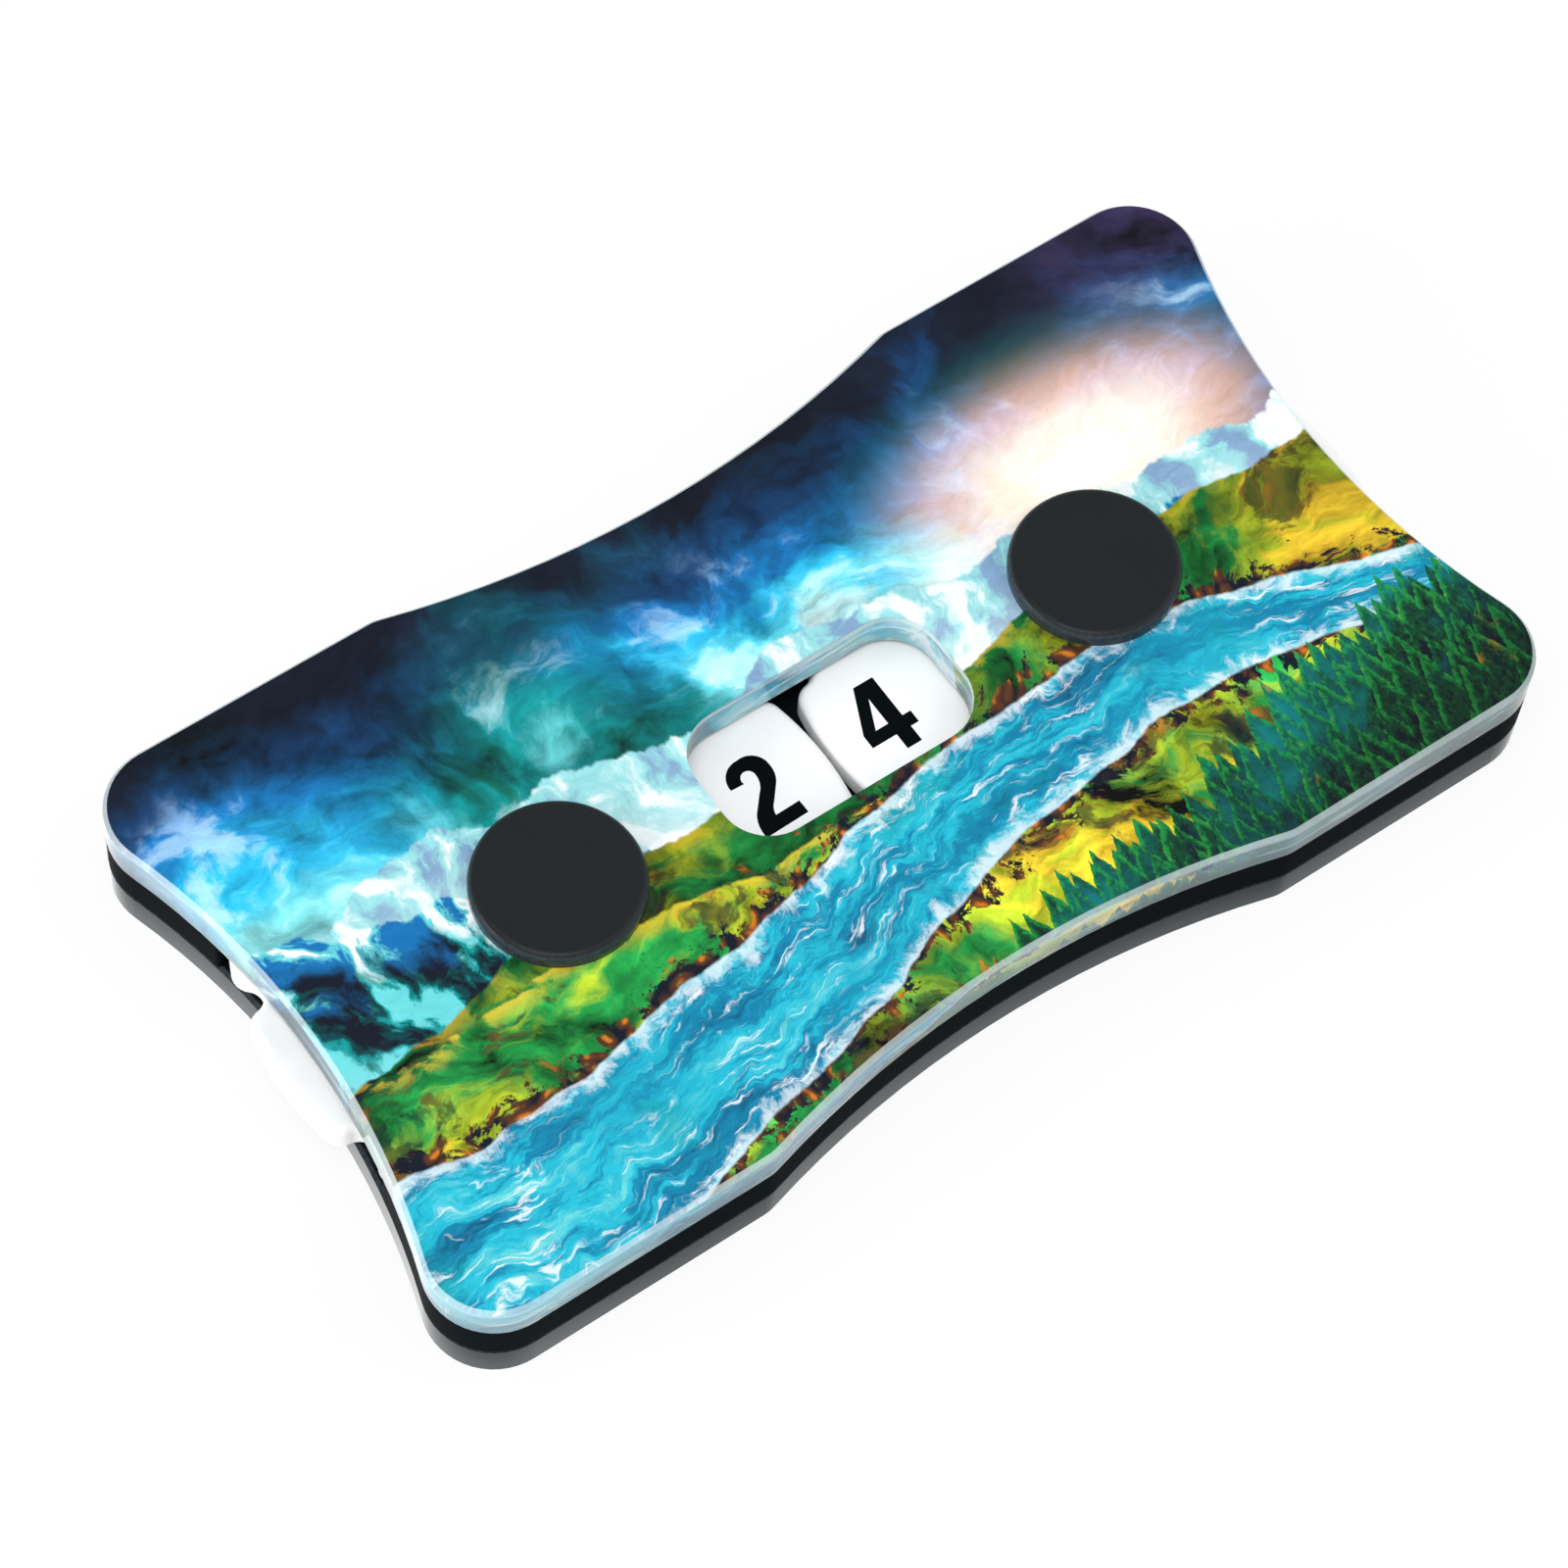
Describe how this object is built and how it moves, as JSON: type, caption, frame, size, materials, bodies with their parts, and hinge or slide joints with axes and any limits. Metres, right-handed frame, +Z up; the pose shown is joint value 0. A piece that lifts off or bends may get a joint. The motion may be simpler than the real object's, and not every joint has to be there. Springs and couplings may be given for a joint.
{
  "type": "life counter",
  "caption": "Flat waisted game counter: clear printed plate with a rounded window over two lobed number wheels, turned at the hollow ends by thumb.",
  "frame": {"origin": "middle of the underside", "axes": "+X along the counter from the tens wheel to the units wheel, +Y away from the player, +Z up through the window"},
  "size_m": [0.089, 0.0476, 0.0103],
  "materials": {
    "base_sheet": "polished black acrylic sheet",
    "rail_sheet": "dull black acrylic sheet",
    "clear_sheet": "clear acrylic sheet with polished edges",
    "picture": "printed film, satin",
    "wheel": "moulded white, satin",
    "digit": "black inlay, flush",
    "post": "black, satin top and glossier edge",
    "screw": "zinc-plated",
    "sleeve": "turned",
    "slip_washer": "natural nylon",
    "spring_washer": "spring steel"
  },
  "bodies": {
    "case": {"base_plate": "base_sheet", "front_rail": "rail_sheet", "back_rail": "rail_sheet", "top_plate": "clear_sheet", "picture_film": "picture", "tens_post": "post", "units_post": "post", "tens_post_screw": "screw", "units_post_screw": "screw", "tens_sleeve": "sleeve", "units_sleeve": "sleeve", "tens_slip_washer": "slip_washer", "units_slip_washer": "slip_washer", "tens_spring_washer": "spring_washer", "units_spring_washer": "spring_washer", "rail_screws": "screw"},
    "tens_dial": {"tens_wheel": "wheel", "tens_digits": "digit"},
    "units_dial": {"units_wheel": "wheel", "units_digits": "digit"}
  },
  "joints": [
    {"name": "tens_turn", "type": "hinge", "parent": "case", "child": "tens_dial", "pos_m": [-0.02205, 0, 0.0045], "axis": [0, 0, 1], "continuous": true},
    {"name": "units_turn", "type": "hinge", "parent": "case", "child": "units_dial", "pos_m": [0.02205, 0, 0.0045], "axis": [0, 0, 1], "continuous": true}
  ]
}
